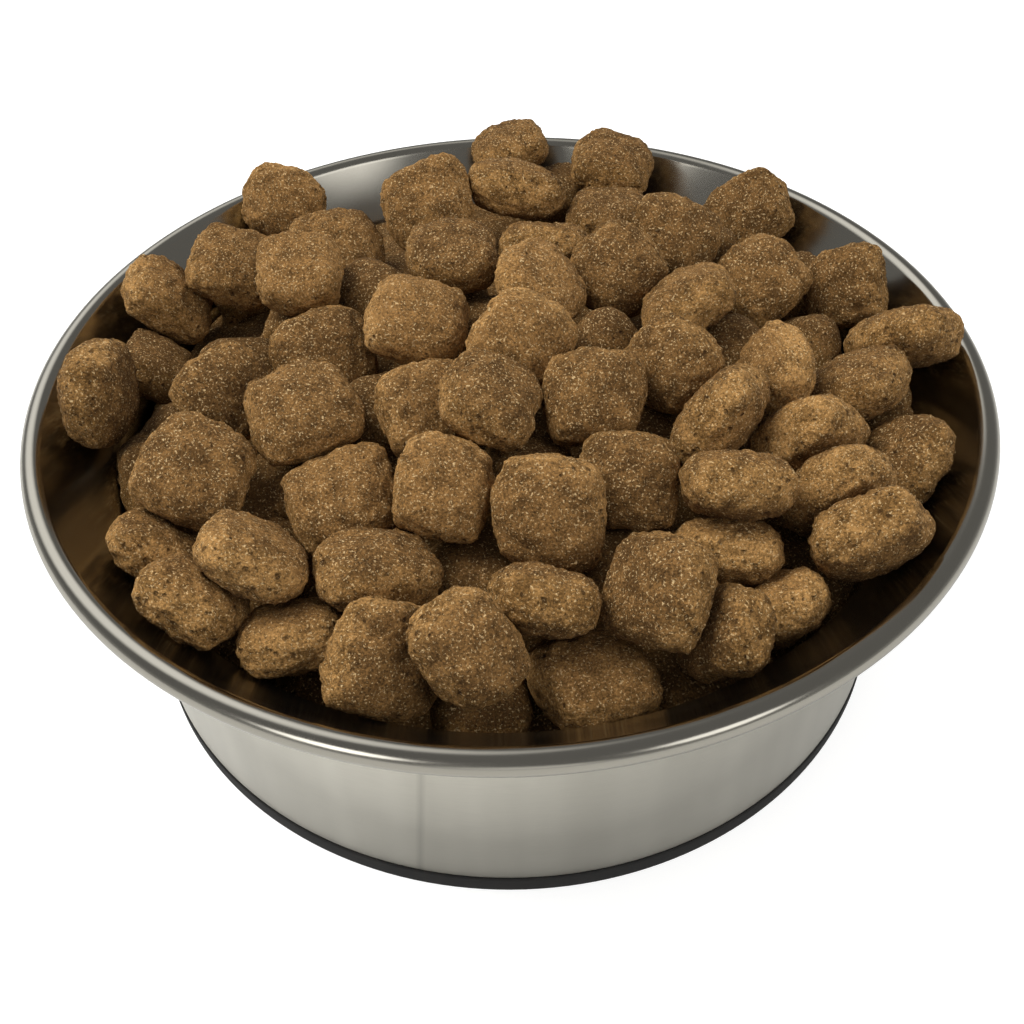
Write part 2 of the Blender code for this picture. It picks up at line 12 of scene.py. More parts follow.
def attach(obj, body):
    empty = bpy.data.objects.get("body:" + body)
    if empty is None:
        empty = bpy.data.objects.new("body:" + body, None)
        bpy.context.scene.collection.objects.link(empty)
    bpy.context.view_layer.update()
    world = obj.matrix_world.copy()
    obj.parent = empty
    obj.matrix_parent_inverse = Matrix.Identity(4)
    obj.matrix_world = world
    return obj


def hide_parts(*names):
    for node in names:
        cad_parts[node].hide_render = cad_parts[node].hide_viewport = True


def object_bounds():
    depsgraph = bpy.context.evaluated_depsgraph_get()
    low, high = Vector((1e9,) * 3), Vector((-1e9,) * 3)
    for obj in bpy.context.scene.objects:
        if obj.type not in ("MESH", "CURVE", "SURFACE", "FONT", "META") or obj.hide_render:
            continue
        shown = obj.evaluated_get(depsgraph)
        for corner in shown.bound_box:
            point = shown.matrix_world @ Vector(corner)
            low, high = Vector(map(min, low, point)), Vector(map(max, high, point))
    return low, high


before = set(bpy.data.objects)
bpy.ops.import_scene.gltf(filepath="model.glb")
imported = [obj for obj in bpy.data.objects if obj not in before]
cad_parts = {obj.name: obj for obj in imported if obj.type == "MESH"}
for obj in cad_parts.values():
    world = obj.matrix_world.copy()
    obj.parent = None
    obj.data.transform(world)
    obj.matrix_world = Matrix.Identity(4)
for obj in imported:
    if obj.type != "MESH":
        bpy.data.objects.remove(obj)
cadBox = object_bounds()
mm = 0.001
white = (1, 1, 1, 1)


# Small helpers

def deselectAll():
    if bpy.context.object and bpy.context.object.mode != "OBJECT":
        bpy.ops.object.mode_set(mode="OBJECT")
    bpy.ops.object.select_all(action="DESELECT")


def activate(piece):
    deselectAll()
    piece.select_set(True)
    bpy.context.view_layer.objects.active = piece


def applyModifiers(piece):
    activate(piece)
    for modifier in list(piece.modifiers):
        bpy.ops.object.modifier_apply(modifier=modifier.name)


def takePlace(piece, node):
    # the piece rides on the part's one body and is shown instead of its plain solid
    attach(piece, "root")
    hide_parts(node)


def hexColour(text):
    # sRGB hex to Blender's linear colour
    channels = [int(text[i:i + 2], 16) / 255 for i in (1, 3, 5)]
    linear = [c / 12.92 if c <= 0.04045 else ((c + 0.055) / 1.055) ** 2.4 for c in channels]
    return (*linear, 1.0)


def setInputs(tree, node, inputs):
    # a socket or a node's first output is linked, and any other value is set
    for key, value in inputs.items():
        if isinstance(value, bpy.types.Node):
            value = next(output for output in value.outputs if output.enabled)
        if isinstance(value, bpy.types.NodeSocket):
            tree.links.new(value, node.inputs[key])
        else:
            node.inputs[key].default_value = value


def addNode(tree, kind, inputs=None, **settings):
    node = tree.nodes.new("ShaderNode" + kind)
    for name, value in settings.items():
        setattr(node, name, value)
    setInputs(tree, node, inputs or {})
    return node


def newMaterial(name):
    material = bpy.data.materials.new(name)
    material.use_nodes = True
    tree = material.node_tree
    return material, tree, tree.nodes["Principled BSDF"]


# Materials

def ringCoordinates(tree):
    # bearing round the bowl's axis, distance from it and height, from Object coordinates
    spot = addNode(tree, "TexCoord").outputs["Object"]
    x, y, height = addNode(tree, "SeparateXYZ", {"Vector": spot}).outputs
    bearing = addNode(tree, "Math", {0: y, 1: x}, operation="ARCTAN2")
    flat = addNode(tree, "CombineXYZ", {"X": x, "Y": y})
    distance = addNode(tree, "VectorMath", {0: flat}, operation="LENGTH")
    return spot, bearing, distance, height


def linesRound(tree, bearing, distance, height, perTurn, pitchMm):
    # fine lines that run round the bowl, as a polishing or brushing wheel leaves them
    around = addNode(tree, "Math", {0: bearing, 1: perTurn}, operation="MULTIPLY")
    up = addNode(tree, "Math", {0: height, 1: 1 / (pitchMm * mm)}, operation="MULTIPLY")
    out = addNode(tree, "Math", {0: distance, 1: 1 / (pitchMm * mm)}, operation="MULTIPLY")
    spot = addNode(tree, "CombineXYZ", {"X": around, "Y": up, "Z": out})
    return addNode(tree, "TexNoise", {"Vector": spot, "Scale": 1.0, "Detail": 2.0, "Roughness": 0.6})


polish = {
    # painted shade: the basin's steel is given a darker base colour than the skirt's, for the dark
    # surroundings the rim mirrors
    "colour": "#aaa69b",
    "rimRoughness": 0.17,
    "wallRoughness": 0.2,
    "rimFootMm": 64.0,  # above this height the steel is as clear as the rim
    "wallTopMm": 60.0,  # and below this one as soft as the wall
    "smudgeMm": 16.7,
    "smudgeRoughens": 1.3,
    "linesPerTurn": 6,
    "linePitchMm": 0.3,
    "lineDepthMm": 0.0015,
    "lineStrength": 0.5,
}


def makePolishedSteel():
    # Stainless steel, mirror polished on a wheel: clear reflections on the rolled rim, and
    # softer ones on the drawn wall below it, with faint lines round both
    material, tree, shader = newMaterial("polishedStainlessSteel")
    spot, bearing, distance, height = ringCoordinates(tree)
    lines = linesRound(tree, bearing, distance, height, polish["linesPerTurn"], polish["linePitchMm"])
    smudge = addNode(tree, "TexNoise", {
        "Vector": spot,
        "Scale": 1 / (polish["smudgeMm"] * mm),
        "Detail": 3.0,
    })
    clean = addNode(tree, "MapRange", {
        "Value": height,
        "From Min": polish["rimFootMm"] * mm,
        "From Max": polish["wallTopMm"] * mm,
        "To Min": polish["rimRoughness"],
        "To Max": polish["wallRoughness"],
    })
    smudged = addNode(tree, "Math", {0: clean, 1: polish["smudgeRoughens"]}, operation="MULTIPLY")
    rough = addNode(tree, "MapRange", {
        "Value": smudge,
        "From Min": 0.35,
        "From Max": 0.7,
        "To Min": clean,
        "To Max": smudged,
    })
    bump = addNode(tree, "Bump", {
        "Height": lines,
        "Distance": polish["lineDepthMm"] * mm,
        "Strength": polish["lineStrength"],
    })
    setInputs(tree, shader, {
        "Base Color": hexColour(polish["colour"]),
        "Metallic": 1.0,
        "Roughness": rough,
        "Normal": bump,
    })
    return material


brushing = {
    # painted light: the skirt's steel is given lighter base colours than the basin's, to keep it bright where
    # it mirrors the floor
    "light": "#dad6ca",
    "dark": "#c5c1b5",
    "darkLine": "#b9b5aa",
    "smoothest": 0.31,
    "roughest": 0.43,
    "linesPerTurn": 14,
    "linePitchMm": 0.3,
    "lineDepthMm": 0.006,
    "lineStrength": 0.6,
    "lineShare": 0.35,
    "bandsPerTurn": 55,
    "bandShare": 0.65,
    "skirtRadiusMm": 90.3,
    "darkLineBearingDeg": -104.2,
    "darkLineLeanDegPerMm": 0.056,
    "darkLineWidthMm": 1.1,
    "darkLineDepthMm": 0.03,
}


def makeBrushedSteel():
    # Stainless steel, brushed round the skirt with fine grit: a satin, even sheen,
    # with a thin darker upright line and a shallow groove along it
    material, tree, shader = newMaterial("brushedStainlessSteel")
    _, bearing, distance, height = ringCoordinates(tree)
    lines = linesRound(tree, bearing, distance, height, brushing["linesPerTurn"], brushing["linePitchMm"])
    # broad upright bands, where the strip took up the curve unevenly
    perRadian = brushing["bandsPerTurn"] / (2 * math.pi)
    turn = addNode(tree, "Math", {0: bearing, 1: perRadian}, operation="MULTIPLY")
    along = addNode(tree, "CombineXYZ", {"X": turn})
    bands = addNode(tree, "TexNoise", {"Vector": along, "Scale": 1.0, "Detail": 1.0})
    banded = addNode(tree, "Math", {0: bands, 1: brushing["bandShare"]}, operation="MULTIPLY")
    tone = addNode(tree, "Math", {0: lines, 1: brushing["lineShare"], 2: banded}, operation="MULTIPLY_ADD")
    colour = addNode(tree, "Mix", {
        "Factor": addNode(tree, "MapRange", {"Value": tone, "From Min": 0.25, "From Max": 0.75}),
        6: hexColour(brushing["dark"]),
        7: hexColour(brushing["light"]),
    }, data_type="RGBA")
    # a thin darker line that leans slightly across the skirt
    darkLineAt = addNode(tree, "Math", {
        0: height,
        1: math.radians(brushing["darkLineLeanDegPerMm"]) / mm,
        2: math.radians(brushing["darkLineBearingDeg"]),
    }, operation="MULTIPLY_ADD")
    aside = addNode(tree, "Math", {0: bearing, 1: darkLineAt}, operation="SUBTRACT")
    away = addNode(tree, "Math", {0: aside}, operation="ABSOLUTE")
    widths = brushing["skirtRadiusMm"] / brushing["darkLineWidthMm"]
    darkLine = addNode(tree, "Math", {0: away, 1: widths}, operation="MULTIPLY", use_clamp=True)
    darkLined = addNode(tree, "Mix", {
        "Factor": darkLine,
        6: hexColour(brushing["darkLine"]),
        7: colour,
    }, data_type="RGBA")
    rough = addNode(tree, "MapRange", {
        "Value": lines,
        "To Min": brushing["smoothest"],
        "To Max": brushing["roughest"],
    })
    grooves = addNode(tree, "Bump", {
        "Height": lines,
        "Distance": brushing["lineDepthMm"] * mm,
        "Strength": brushing["lineStrength"],
    })
    lineGroove = addNode(tree, "Bump", {
        "Height": darkLine,
        "Distance": brushing["darkLineDepthMm"] * mm,
        "Normal": grooves,
    })
    setInputs(tree, shader, {"Base Color": darkLined, "Metallic": 1.0, "Roughness": rough, "Normal": lineGroove})
    return material


rubber = {
    "colour": "#171615",
    "worn": "#211f1d",
    "wearMm": 11.1,
    "roughness": 0.7,
    "sheen": 0.4,
    "grainMm": 0.35,
    "grainDepthMm": 0.05,
}


def makeRubber():
    # Moulded synthetic rubber: near black, matte, with a fine moulded grain
    material, tree, shader = newMaterial("mouldedBlackRubber")
    spot = addNode(tree, "TexCoord").outputs["Object"]
    grain = addNode(tree, "TexNoise", {"Vector": spot, "Scale": 1 / (rubber["grainMm"] * mm), "Detail": 2.0})
    wear = addNode(tree, "TexNoise", {"Vector": spot, "Scale": 1 / (rubber["wearMm"] * mm), "Detail": 3.0})
    colour = addNode(tree, "Mix", {
        "Factor": addNode(tree, "MapRange", {"Value": wear, "From Min": 0.4, "From Max": 0.75}),
        6: hexColour(rubber["colour"]),
        7: hexColour(rubber["worn"]),
    }, data_type="RGBA")
    bump = addNode(tree, "Bump", {
        "Height": grain,
        "Distance": rubber["grainDepthMm"] * mm,
        "Strength": 0.6,
    })
    setInputs(tree, shader, {
        "Base Color": colour,
        "Roughness": rubber["roughness"],
        "Specular IOR Level": rubber["sheen"],
        "Normal": bump,
    })
    return material


crumb = {
    "faceDark": "#543c20",
    "faceLight": "#826037",
    "sideDark": "#664a27",
    "sideLight": "#a27b49",
    "fleck": "#d9bb8a",
    "scorch": "#3a2412",
    "poreShade": "#2a190c",
    "roughness": 0.9,
    "sheen": 0.2,
    "blotchMm": 4.0,
    "toneShare": 0.1,  # how much a whole kibble is baked darker or lighter than the next
    "scorchShare": 0.35,
    "grainMm": 0.5,
    "grainDarkAndShade": 0.35,
    "grainLightAndLit": 1.7,
    "grainDepthMm": 0.45,
    "fleckMm": 0.5,
    "fleckShare": 0.68,
    "poreMm": 1.7,
    "poreBendMm": 1.11,
    "poreShadeShare": 0.6,
    "poreDepthMm": 0.7,
    "poresOnFaces": 0.02,  # the share of cells that are open
    "poresOnCuts": 0.34,
}


def makeBakedKibble():
    # Extruded and baked cereal dough, dusted with meal: brown, dry and grainy, with pale flecks of grain,
    # and open pores where each piece was cut from the strip. Shade is painted into the pores and the grain's
    # hollows, and light onto the grain's tops.
    material, tree, shader = newMaterial("bakedKibbleCrumb")
    spot = addNode(tree, "TexCoord").outputs["Object"]
    cut = addNode(tree, "Attribute", attribute_name="cutSide").outputs["Fac"]
    tone = addNode(tree, "Attribute", attribute_name="bakeToneAndShade").outputs["Fac"]
    blotch = addNode(tree, "TexNoise", {
        "Vector": spot,
        "Scale": 1 / (crumb["blotchMm"] * mm),
        "Detail": 4.0,
        "Roughness": 0.65,
    })
    browned = addNode(tree, "Math", {0: tone, 1: crumb["toneShare"], 2: blotch}, operation="MULTIPLY_ADD")
    paler = addNode(tree, "MapRange", {"Value": browned, "From Min": 0.35, "From Max": 0.68})
    face = addNode(tree, "Mix", {
        "Factor": paler,
        6: hexColour(crumb["faceDark"]),
        7: hexColour(crumb["faceLight"]),
    }, data_type="RGBA")
    side = addNode(tree, "Mix", {
        "Factor": paler,
        6: hexColour(crumb["sideDark"]),
        7: hexColour(crumb["sideLight"]),
    }, data_type="RGBA")
    crust = addNode(tree, "Mix", {"Factor": cut, 6: face, 7: side}, data_type="RGBA")
    # the meal that the surface is rolled in: light and dark grains, partly real and partly painted shade in
    # the hollows and painted light on the tops of the same noise that makes the crumb bump, and paler flecks
    grain = addNode(tree, "TexNoise", {
        "Vector": spot,
        "Scale": 1 / (crumb["grainMm"] * mm),
        "Detail": 3.0,
        "Roughness": 0.75,
    })
    shade = addNode(tree, "MapRange", {
        "Value": grain,
        "From Min": 0.3,
        "From Max": 0.7,
        "To Min": crumb["grainDarkAndShade"],
        "To Max": crumb["grainLightAndLit"],
    })
    grainedAndShaded = addNode(tree, "Mix", {
        "Factor": 1.0,
        6: crust,
        7: shade,
    }, data_type="RGBA", blend_type="MULTIPLY")
    shifted = addNode(tree, "VectorMath", {0: spot, 1: (0.5, 0.3, 0.1)}, operation="ADD")
    scatter = addNode(tree, "TexNoise", {
        "Vector": shifted,
        "Scale": 1 / (crumb["fleckMm"] * mm),
        "Detail": 2.0,
        "Roughness": 0.6,
    })
    fleck = addNode(tree, "MapRange", {
        "Value": scatter,
        "From Min": 0.588,
        "From Max": 0.68,
        "To Max": crumb["fleckShare"],
    })
    flecked = addNode(tree, "Mix", {
        "Factor": fleck,
        6: grainedAndShaded,
        7: hexColour(crumb["fleck"]),
    }, data_type="RGBA")
    burnt = addNode(tree, "MapRange", {
        "Value": blotch,
        "From Min": 0.6,
        "From Max": 0.75,
        "To Max": crumb["scorchShare"],
    })
    scorched = addNode(tree, "Mix", {
        "Factor": burnt,
        6: flecked,
        7: hexColour(crumb["scorch"]),
    }, data_type="RGBA")
    # pores: cells bent out of round by noise, frequent on the cut sides and rare on the faces, with painted
    # shade inside them
    bend = addNode(tree, "TexNoise", {"Vector": spot, "Scale": 1 / (crumb["poreBendMm"] * mm), "Detail": 1.0})
    bent = addNode(tree, "VectorMath", {
        0: bend.outputs["Color"],
        1: (crumb["poreBendMm"] * mm,) * 3,
        2: spot,
    }, operation="MULTIPLY_ADD")
    cells = addNode(tree, "TexVoronoi", {
        "Vector": bent,
        "Scale": 1 / (crumb["poreMm"] * mm),
        "Randomness": 1.0,
    })
    near = addNode(tree, "MapRange", {"Value": cells, "From Min": 0.34, "From Max": 0.14})
    pick = addNode(tree, "SeparateXYZ", {"Vector": cells.outputs["Color"]}).outputs["Y"]
    shut = addNode(tree, "MapRange", {
        "Value": cut,
        "To Min": 1 - crumb["poresOnFaces"],
        "To Max": 1 - crumb["poresOnCuts"],
    })
    isOpen = addNode(tree, "Math", {0: pick, 1: shut}, operation="GREATER_THAN")
    pore = addNode(tree, "Math", {0: near, 1: isOpen}, operation="MULTIPLY")
    # painted shade: the open pores are darkened as their insides would be in shade
    dark = addNode(tree, "Math", {0: pore, 1: crumb["poreShadeShare"]}, operation="MULTIPLY")
    colour = addNode(tree, "Mix", {
        "Factor": dark,
        6: scorched,
        7: hexColour(crumb["poreShade"]),
    }, data_type="RGBA")
    crumbs = addNode(tree, "Bump", {
        "Height": grain,
        "Distance": crumb["grainDepthMm"] * mm,
        "Strength": 1.0,
    })
    pores = addNode(tree, "Bump", {
        "Height": pore,
        "Distance": crumb["poreDepthMm"] * mm,
        "Strength": 0.8,
        "Normal": crumbs,
    }, invert=True)
    setInputs(tree, shader, {
        "Base Color": colour,
        "Roughness": crumb["roughness"],
        "Specular IOR Level": crumb["sheen"],
        "Normal": pores,
    })
    return material


# The bowl: the same section as the CAD pieces, with more steps along each bend.
# Sizes without a unit in their names are in millimetres.

section = {
    "rimRadius": 105.0,
    "height": 69.8,
    "beadRadius": 2.5,
    "steel": 0.8,
    "skirtRadius": 90.3,
    "gap": 0.3,
    "shoulderRadius": 6.0,
    "shoulderBand": 9.0,
    "flareSlopeDeg": 48.0,
    "wallTaperDeg": 10.0,
    "floorCorner": 14.0,
    "floorLift": 6.0,
    "beadStartDeg": 160.0,
    "beadEndDeg": -130.0,
    "skirtEdge": (0.2, 0.25),
    "footHeight": 4.5,
    "footUpstand": 5.5,
    "footThickness": 2.7,
    "footOverlap": 0.3,
    "footLip": 0.5,
    "bendSteps": 10,
    "beadSteps": 28,
    "stepsRound": 192,
    "mergeWithin": 0.002,
    "smoothUpToDeg": 40,
}


def arcPoints(centre, radius, startDeg, endDeg, steps):
    points = []
    for step in range(steps + 1):
        angle = math.radians(startDeg + (endDeg - startDeg) * step / steps)
        points.append((centre[0] + radius * math.cos(angle), centre[1] + radius * math.sin(angle)))
    return points


def spinSection(name, profile, material, closed):
    # draws the section as an edge chain and spins it round the bowl's axis
    mesh = bpy.data.meshes.new(name)
    corners = [(radius * mm, 0, height * mm) for radius, height in profile]
    edges = [(i, i + 1) for i in range(len(corners) - 1)]
    if closed:
        edges.append((len(corners) - 1, 0))
    mesh.from_pydata(corners, edges, [])
    piece = bpy.data.objects.new(name, mesh)
    bpy.context.collection.objects.link(piece)
    activate(piece)
    bpy.ops.object.mode_set(mode="EDIT")
    bpy.ops.mesh.select_all(action="SELECT")
    bpy.ops.mesh.spin(steps=section["stepsRound"], angle=2 * math.pi, center=(0, 0, 0), axis=(0, 0, 1))
    bpy.ops.mesh.select_all(action="SELECT")
    bpy.ops.mesh.remove_doubles(threshold=section["mergeWithin"] * mm)
    bpy.ops.mesh.normals_make_consistent(inside=False)
    bpy.ops.object.mode_set(mode="OBJECT")
    piece.data.materials.append(material)
    return piece


def finishSpun(piece, node):
    # smooth shading that keeps true edges
    activate(piece)
    bpy.ops.object.shade_smooth_by_angle(angle=math.radians(section["smoothUpToDeg"]))
    takePlace(piece, node)


def beadCentre():
    return (section["rimRadius"] - section["beadRadius"], section["height"] - section["beadRadius"])


def bendCentre():
    # the bend between the upright band and the flare
    bead = beadCentre()
    beadStart = math.radians(section["beadStartDeg"])
    flareRadius = bead[0] + section["beadRadius"] * math.cos(beadStart)
    flareHeight = bead[1] + section["beadRadius"] * math.sin(beadStart)
    slope = math.radians(section["flareSlopeDeg"])
    turn = math.radians(90) + slope
    wall = section["skirtRadius"] - 2 * section["steel"] - section["gap"]
    run = flareRadius - wall - section["shoulderRadius"] * (1 + math.cos(turn))
    shoulder = flareHeight - run * math.tan(slope) - section["shoulderRadius"] * math.sin(turn)
    return (wall + section["shoulderRadius"], shoulder)


def innerFace():
    # the inside of the basin, from its centre out to the bead
    bend = bendCentre()
    wall = bend[0] - section["shoulderRadius"]
    bandFoot = bend[1] - section["shoulderBand"]
    floor = section["floorLift"] + section["steel"]
    taper = math.radians(section["wallTaperDeg"])
    cornerTop = floor + section["floorCorner"] * (1 - math.sin(taper))
    footRadius = wall - (bandFoot - cornerTop) * math.tan(taper)
    corner = (footRadius - section["floorCorner"] * math.cos(taper), floor + section["floorCorner"])
    points = [(0.0, floor), (corner[0] / 2, floor)]
    points += arcPoints(corner, section["floorCorner"], -90, -section["wallTaperDeg"], section["bendSteps"])
    points.append((wall, bandFoot))
    bendEnd = 90 + section["flareSlopeDeg"]
    points += arcPoints(bend, section["shoulderRadius"], 180, bendEnd, section["bendSteps"])
    return points


def makeBasin(material):
    profile = innerFace() + arcPoints(
        beadCentre(), section["beadRadius"], section["beadStartDeg"], section["beadEndDeg"],
        section["beadSteps"])
    basin = spinSection("rolledRimBasin", profile, material, closed=False)
    # the open sheet's normals face the inside of the bowl and round the bead's outside
    lowest = min(basin.data.polygons, key=lambda face: face.center.z)
    if lowest.normal.z < 0:
        basin.data.flip_normals()
    sheet = basin.modifiers.new("sheet", "SOLIDIFY")
    sheet.thickness = section["steel"] * mm
    sheet.offset = -1
    sheet.use_even_offset = True
    applyModifiers(basin)
    finishSpun(basin, "basin")


def makeSkirt(material):
    # a strip whose top edge follows the bend of the basin, and whose lower edge is eased
    bend = bendCentre()
    outer = section["skirtRadius"]
    inner = outer - section["steel"]
    bendRadius = section["shoulderRadius"] - section["steel"]
    tops = []
    for radius in (inner, outer):
        rise = math.sqrt(bendRadius ** 2 - (bend[0] - radius) ** 2)
        tops.append(bend[1] + rise - 2 * section["gap"])
    foot = section["footHeight"] + section["gap"]
    edgeWidth, edgeHeight = section["skirtEdge"]
    profile = [(inner, foot), (inner, tops[0]), (outer, tops[1])]
    profile += [(outer, foot + edgeHeight), (outer - edgeWidth, foot)]
    skirt = spinSection("rolledSkirt", profile, material, closed=True)
    finishSpun(skirt, "skirt")


def makeFoot(material):
    # a ring with an upstand inside the skirt, rounded where a hand meets it
    outer = section["skirtRadius"] + section["footOverlap"]
    upstand = section["skirtRadius"] - section["steel"] - section["gap"]
    inner = upstand - section["footThickness"]
    top = section["footHeight"] + section["footUpstand"]
    lip = section["footLip"]
    profile = [(inner, lip), (inner, top - lip)]
    profile += arcPoints((inner + lip, top - lip), lip, 180, 90, 4)
    profile += [(upstand, top), (upstand, section["footHeight"])]
    profile += arcPoints((outer - lip, section["footHeight"] - lip), lip, 90, 0, 5)
    profile += arcPoints((outer - lip, lip), lip, 0, -90, 5)
    profile += arcPoints((inner + lip, lip), lip, -90, -180, 4)
    foot = spinSection("rubberFootRing", profile, material, closed=True)
    finishSpun(foot, "rubber_foot")


# The food

kibble = {
    "flatSteps": 1,
    "roundSteps": 2,
    "bedSteps": 2,
    "swellMm": 0.3,
    "lumpMm": 7.5,
    "lumpDepthMm": 2.3,
    "knobMm": 3.4,
    "knobDepthMm": 1.5,
    "crumbMm": 1.25,
    "crumbDepthMm": 1.4,
    "softTopMm": 1.5,
    "mergeWithinMm": 0.001,
    "cutFrom": 0.8,  # how squarely a point faces its kibble's thin way where the cut side starts
    "cutFull": 0.35,
    # the bed's tone is painted shade for the gaps between the kibbles
    "bedShadeTone": -1.5,
    "toneSeed": 7,
}


def noiseTexture(name, sizeMm, depth):
    texture = bpy.data.textures.new(name, "CLOUDS")
    texture.noise_scale = sizeMm * mm
    texture.noise_depth = depth
    texture.noise_basis = "IMPROVED_PERLIN"
    return texture


def addSubdivision(piece, kind, steps):
    smooth = piece.modifiers.new("smooth", "SUBSURF")
    smooth.subdivision_type = kind
    smooth.levels = steps
    smooth.render_levels = steps


def roughen(piece, textures):
    # pushes the skin out to the solid's size, then into lumps, knobs and crumbs
    swell = piece.modifiers.new("swell", "DISPLACE")
    swell.strength = kibble["swellMm"] * mm
    swell.mid_level = 0.0
    for texture, depthMm in textures:
        rough = piece.modifiers.new(texture.name, "DISPLACE")
        rough.texture = texture
        rough.texture_coords = "LOCAL"
        rough.strength = depthMm * mm
        rough.mid_level = 0.5
    applyModifiers(piece)


def keepUnder(piece, top):
    # rounds off what would rise past the solids' height
    reach = kibble["softTopMm"] * mm
    for vertex in piece.data.vertices:
        over = vertex.co.z - (top - reach)
        if over > 0:
            vertex.co.z = top - reach * math.exp(-over / reach)


def mergedCopy(node, name):
    piece = node.copy()
    piece.data = node.data.copy()
    piece.name = name
    bpy.context.collection.objects.link(piece)
    activate(piece)
    bpy.ops.object.mode_set(mode="EDIT")
    bpy.ops.mesh.select_all(action="SELECT")
    bpy.ops.mesh.remove_doubles(threshold=kibble["mergeWithinMm"] * mm)
    bpy.ops.mesh.tris_convert_to_quads()
    bpy.ops.object.mode_set(mode="OBJECT")
    piece.data.materials.clear()
    for attribute in [a for a in piece.data.attributes if not a.is_required and not a.is_internal]:
        piece.data.attributes.remove(attribute)
    return piece


def thinAxis(piece):
    # the direction in which the kibble is thinnest, which is across its two baked faces
    spots = np.array([vertex.co for vertex in piece.data.vertices])
    spots -= spots.mean(axis=0)
    _, axes = np.linalg.eigh(spots.T @ spots)
    return axes[:, 0]


def paintKibble(piece, axis, tone):
    # how far each point lies on a cut side, and how dark the whole piece was baked; for the bed, this tone is
    # painted shade
    mesh = piece.data
    normals = np.array([vertex.normal for vertex in mesh.vertices])
    facing = np.abs(normals @ axis)
    side = np.clip((kibble["cutFrom"] - facing) / (kibble["cutFrom"] - kibble["cutFull"]), 0, 1)
    cutSide = mesh.attributes.new("cutSide", "FLOAT", "POINT")
    cutSide.data.foreach_set("value", side.astype(np.float32))
    bakeToneAndShade = mesh.attributes.new("bakeToneAndShade", "FLOAT", "POINT")
    bakeToneAndShade.data.foreach_set("value", np.full(len(side), tone, dtype=np.float32))


def finishFood(piece, node, material):
    piece.data.materials.append(material)
    piece.data.shade_smooth()
    takePlace(piece, node)


def makeKibble(name, material, textures, tone):
    piece = mergedCopy(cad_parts[name], name.replace("_", "Piece"))
    axis = thinAxis(piece)
    # a flat subdivision first keeps the pillow's sides plane, with soft edges between them
    addSubdivision(piece, "SIMPLE", kibble["flatSteps"])
    addSubdivision(piece, "CATMULL_CLARK", kibble["roundSteps"])
    roughen(piece, textures)
    keepUnder(piece, cadBox[1][2])
    paintKibble(piece, axis, tone)
    finishFood(piece, name, material)


def makeBed(material, textures):
    # the food under the kibbles that can be told apart, without large lumps, and painted darker as shade in
    # the gaps between the kibbles
    piece = mergedCopy(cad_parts["kibble_bed"], "lowerKibbles")
    addSubdivision(piece, "CATMULL_CLARK", kibble["bedSteps"])
    roughen(piece, textures[1:])
    # painted shade: the bed is toned darker to stand in for the shade in the gaps
    paintKibble(piece, np.array((0.0, 0.0, 1.0)), kibble["bedShadeTone"])
    finishFood(piece, "kibble_bed", material)


def makeFood(material):
    textures = [
        (noiseTexture("lumps", kibble["lumpMm"], 1), kibble["lumpDepthMm"]),
        (noiseTexture("knobs", kibble["knobMm"], 2), kibble["knobDepthMm"]),
        (noiseTexture("crumbs", kibble["crumbMm"], 2), kibble["crumbDepthMm"]),
    ]
    draw = random.Random(kibble["toneSeed"])
    for name in sorted(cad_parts):
        if name.startswith("kibble_") and name != "kibble_bed":
            makeKibble(name, material, textures, draw.uniform(-1, 1))
    makeBed(material, textures)


# The studio

studio = {
    "floorSize": 12,
    "floorColour": "#b6b6b4",
    "floorGlow": 0.72,
    "mirroredGlow": 0.2,
    "skyLight": 0.62,
    "roomTone": 0.2,
    "horizonTone": 0.42,
    "horizonTop": 0.3,
    "keyPower": 13.0,
    "keyFrom": (-0.55, 0.12, 0.95),
    "fillPower": 4.0,
    "fillFrom": (0.75, -0.55, 0.55),
    "softboxSize": 0.55,
    "softboxAim": (0, 0, 0.06),
}

# What the steel mirrors: each bright surface's direction, how far it reaches as two cosines,
# from its faint edge to its full core, and its tone
mirroredLights = {
    "backWindow": ((-0.42, 0.56, 0.71), 0.86, 0.97, 1.25),
    "frontLeftWindow": ((-0.53, -0.69, 0.46), 0.965, 0.99, 3.5),
    "frontRightWindow": ((0.58, -0.67, 0.46), 0.965, 0.99, 2.2),
    "frontWall": ((0.0, -0.99, 0.06), 0.95, 0.99, 0.6),
}


def makeFloor():
    bpy.ops.mesh.primitive_plane_add(size=studio["floorSize"], location=(0, 0, 0))
    floor = bpy.context.object
    floor.name = "studioFloor"
    material, tree, shader = newMaterial("matteWhiteFloor")
    rays = addNode(tree, "LightPath").outputs
    shown = addNode(tree, "Math", {
        0: rays["Is Camera Ray"],
        1: rays["Is Transmission Ray"],
    }, operation="MAXIMUM")
    mirrored = addNode(tree, "Math", {
        0: rays["Is Glossy Ray"],
        1: studio["mirroredGlow"],
    }, operation="MULTIPLY")
    glow = addNode(tree, "Math", {0: shown, 1: studio["floorGlow"], 2: mirrored}, operation="MULTIPLY_ADD")
    setInputs(tree, shader, {
        "Base Color": hexColour(studio["floorColour"]),
        "Roughness": 1.0,
        "Specular IOR Level": 0.0,
        "Emission Color": white,
        "Emission Strength": glow,
    })
    floor.data.materials.append(material)


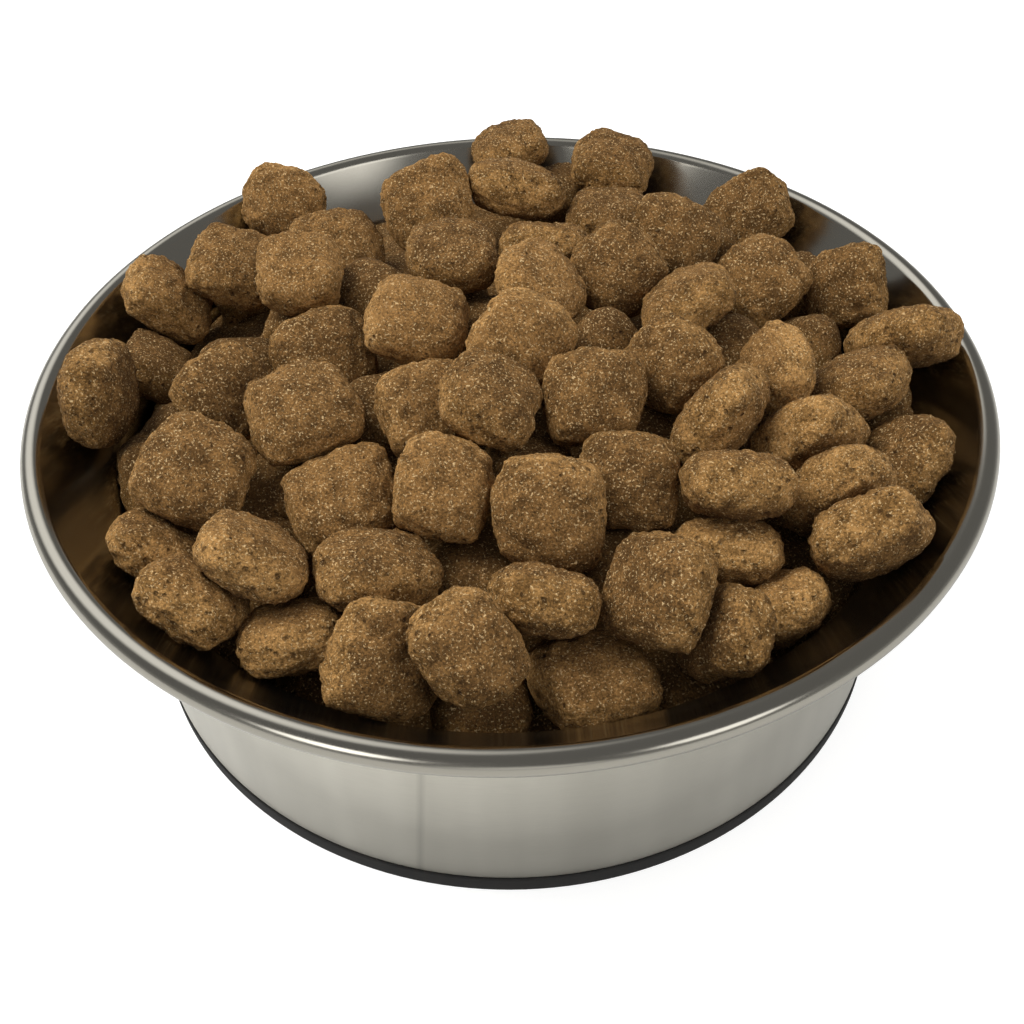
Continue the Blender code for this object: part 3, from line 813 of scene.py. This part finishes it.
def makeWorld():
    # White to the camera. The steel mirrors a grey room with a paler horizon and bright
    # windows, and everything else gets an even soft light.
    world = bpy.data.worlds.new("studioWorld")
    bpy.context.scene.world = world
    world.use_nodes = True
    tree = world.node_tree
    tree.nodes.clear()
    rays = addNode(tree, "LightPath").outputs
    way = addNode(tree, "TexCoord").outputs["Generated"]
    room = addNode(tree, "MapRange", {
        "Value": addNode(tree, "SeparateXYZ", {"Vector": way}).outputs["Z"],
        "From Max": studio["horizonTop"],
        "To Min": studio["horizonTone"],
        "To Max": studio["roomTone"],
    })
    for aim, edge, core, tone in mirroredLights.values():
        near = addNode(tree, "VectorMath", {0: way, 1: Vector(aim).normalized()}, operation="DOT_PRODUCT")
        window = addNode(tree, "MapRange", {
            "Value": near,
            "From Min": edge,
            "From Max": core,
            "To Max": tone,
        })
        room = addNode(tree, "Math", {0: room, 1: window}, operation="ADD")
    light = addNode(tree, "Background", {"Color": white, "Strength": studio["skyLight"]})
    mirrored = addNode(tree, "Background", {"Color": white, "Strength": room})
    backdrop = addNode(tree, "Background", {"Color": white, "Strength": 1.0})
    unseen = addNode(tree, "MixShader", {"Fac": rays["Is Glossy Ray"], 1: light, 2: mirrored})
    shown = addNode(tree, "Math", {
        0: rays["Is Camera Ray"],
        1: rays["Is Transmission Ray"],
    }, operation="MAXIMUM")
    surface = addNode(tree, "MixShader", {"Fac": shown, 1: unseen, 2: backdrop})
    addNode(tree, "OutputWorld", {"Surface": surface})


def addSoftbox(name, place, power):
    # a square softbox that looks at the heap, and that the steel doesn't mirror
    bpy.ops.object.light_add(type="AREA", location=place)
    lamp = bpy.context.object
    lamp.name = name
    lamp.data.shape = "SQUARE"
    lamp.data.size = studio["softboxSize"]
    lamp.data.energy = power
    aim = Vector(studio["softboxAim"]) - Vector(place)
    lamp.rotation_euler = aim.to_track_quat("-Z", "Y").to_euler()
    lamp.visible_camera = False
    lamp.visible_glossy = False


camera = {
    "place": (0, -0.204835, 0.226422),
    "right": (0.9993807, -0.0248515, -0.0249144),
    "up": (0.0351897, 0.7067091, 0.7066286),
    "back": (0.00004645, -0.7070676, 0.7071459),
    "sensorMm": 36,
    "focalPixels": 1150,
    "framePixels": 1024,
    "nearest": 0.01,
}


def makeCamera():
    # the photograph's view: 45 degrees down, close by, with a slight roll
    data = bpy.data.cameras.new("photoCamera")
    item = bpy.data.objects.new("photoCamera", data)
    bpy.context.collection.objects.link(item)
    turn = Matrix((camera["right"], camera["up"], camera["back"])).transposed().to_4x4()
    turn.translation = Vector(camera["place"])
    item.matrix_world = turn
    data.sensor_width = camera["sensorMm"]
    data.lens = camera["sensorMm"] * camera["focalPixels"] / camera["framePixels"]
    data.clip_start = camera["nearest"]
    bpy.context.scene.camera = item


deselectAll()
makeBasin(makePolishedSteel())
makeSkirt(makeBrushedSteel())
makeFoot(makeRubber())
print("bowl made")
makeFood(makeBakedKibble())
print("food made")
deselectAll()
makeFloor()
makeWorld()
addSoftbox("keySoftbox", studio["keyFrom"], studio["keyPower"])
addSoftbox("fillSoftbox", studio["fillFrom"], studio["fillPower"])
makeCamera()
bpy.context.scene.view_settings.view_transform = "Standard"
print("studio made")
